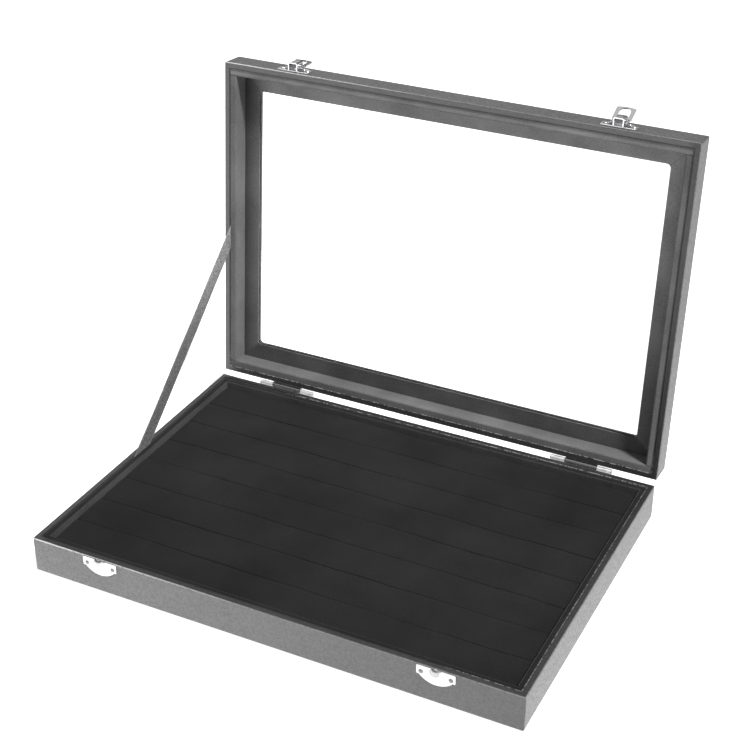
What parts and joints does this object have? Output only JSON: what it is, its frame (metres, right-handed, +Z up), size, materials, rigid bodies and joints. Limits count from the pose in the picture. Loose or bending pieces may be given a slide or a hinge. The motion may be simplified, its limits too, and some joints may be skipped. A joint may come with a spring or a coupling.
{
  "type": "ring display box",
  "caption": "Leatherette display case for finger rings: velvet foam rolls in the base, a hinged lid with a clear window held by a ribbon stay, and swinging loop catches.",
  "frame": {"origin": "middle of the underside of the base", "axes": "X left to right along the case, Y from the catches to the hinges, Z up"},
  "size_m": [0.35, 0.293, 0.28],
  "materials": {
    "leatherette": "fine grained leatherette, satin",
    "black_paper": "matt black lining paper",
    "board": "medium density fibre board",
    "black_card": "black card",
    "velvet_board": "velvet over board, short pile",
    "velvet_foam": "velvet over foam, short pile",
    "clear_pane": "clear, polished",
    "ribbon": "woven ribbon with a sheen",
    "nickelled_steel": "nickel plated sheet",
    "steel": "bright steel",
    "spring_steel": "bright spring wire",
    "chrome_plate": "bright plated, polished"
  },
  "bodies": {
    "base": {"base_leatherette": "leatherette", "base_underside_paper": "black_paper", "base_bottom_board": "board", "base_front_rail": "board", "base_back_rail": "board", "base_left_rail": "board", "base_right_rail": "board", "base_front_liner": "velvet_board", "base_back_liner": "velvet_board", "base_left_liner": "velvet_board", "base_right_liner": "velvet_board", "roll_card": "black_card", "ring_roll_1": "velvet_foam", "ring_roll_2": "velvet_foam", "ring_roll_3": "velvet_foam", "ring_roll_4": "velvet_foam", "ring_roll_5": "velvet_foam", "ring_roll_6": "velvet_foam", "ring_roll_7": "velvet_foam", "ring_roll_8": "velvet_foam", "left_catch_plate": "chrome_plate", "right_catch_plate": "chrome_plate", "left_catch_knob": "chrome_plate", "right_catch_knob": "chrome_plate", "catch_screws": "steel", "left_hinge_base_leaf": "nickelled_steel", "right_hinge_base_leaf": "nickelled_steel", "left_hinge_pin": "steel", "right_hinge_pin": "steel", "hinge_base_screws": "steel", "stay_ribbon": "ribbon"},
    "lid": {"lid_leatherette": "leatherette", "lid_window_board": "board", "lid_front_rail": "board", "lid_back_rail": "board", "lid_left_rail": "board", "lid_right_rail": "board", "lid_front_liner": "velvet_board", "lid_back_liner": "velvet_board", "lid_left_liner": "velvet_board", "lid_right_liner": "velvet_board", "window_pane": "clear_pane", "window_velvet_frame": "velvet_board", "left_hasp_plate": "chrome_plate", "right_hasp_plate": "chrome_plate", "left_hasp_bracket": "chrome_plate", "right_hasp_bracket": "chrome_plate", "left_hasp_pin": "steel", "right_hasp_pin": "steel", "left_hasp_spring": "spring_steel", "right_hasp_spring": "spring_steel", "hasp_rivets": "steel", "hasp_screws": "steel", "left_hinge_lid_leaf": "nickelled_steel", "right_hinge_lid_leaf": "nickelled_steel", "hinge_lid_screws": "steel"},
    "left_hasp_loop": {"left_hasp_loop": "chrome_plate"},
    "right_hasp_loop": {"right_hasp_loop": "chrome_plate"}
  },
  "joints": [
    {"name": "lid_hinge", "type": "hinge", "parent": "base", "child": "lid", "pos_m": [0, 0.1243, 0.0265], "axis": [1, 0, 0], "range_deg": [0, 94.8], "deforming": ["stay_ribbon"]},
    {"name": "left_loop_hinge", "type": "hinge", "parent": "lid", "child": "left_hasp_loop", "pos_m": [-0.121, 0.15288, 0.27443], "axis": [1, 0, 0], "range_deg": [-7, 183]},
    {"name": "right_loop_hinge", "type": "hinge", "parent": "lid", "child": "right_hasp_loop", "pos_m": [0.1185, 0.15288, 0.27443], "axis": [1, 0, 0], "range_deg": [-30, 160]}
  ]
}
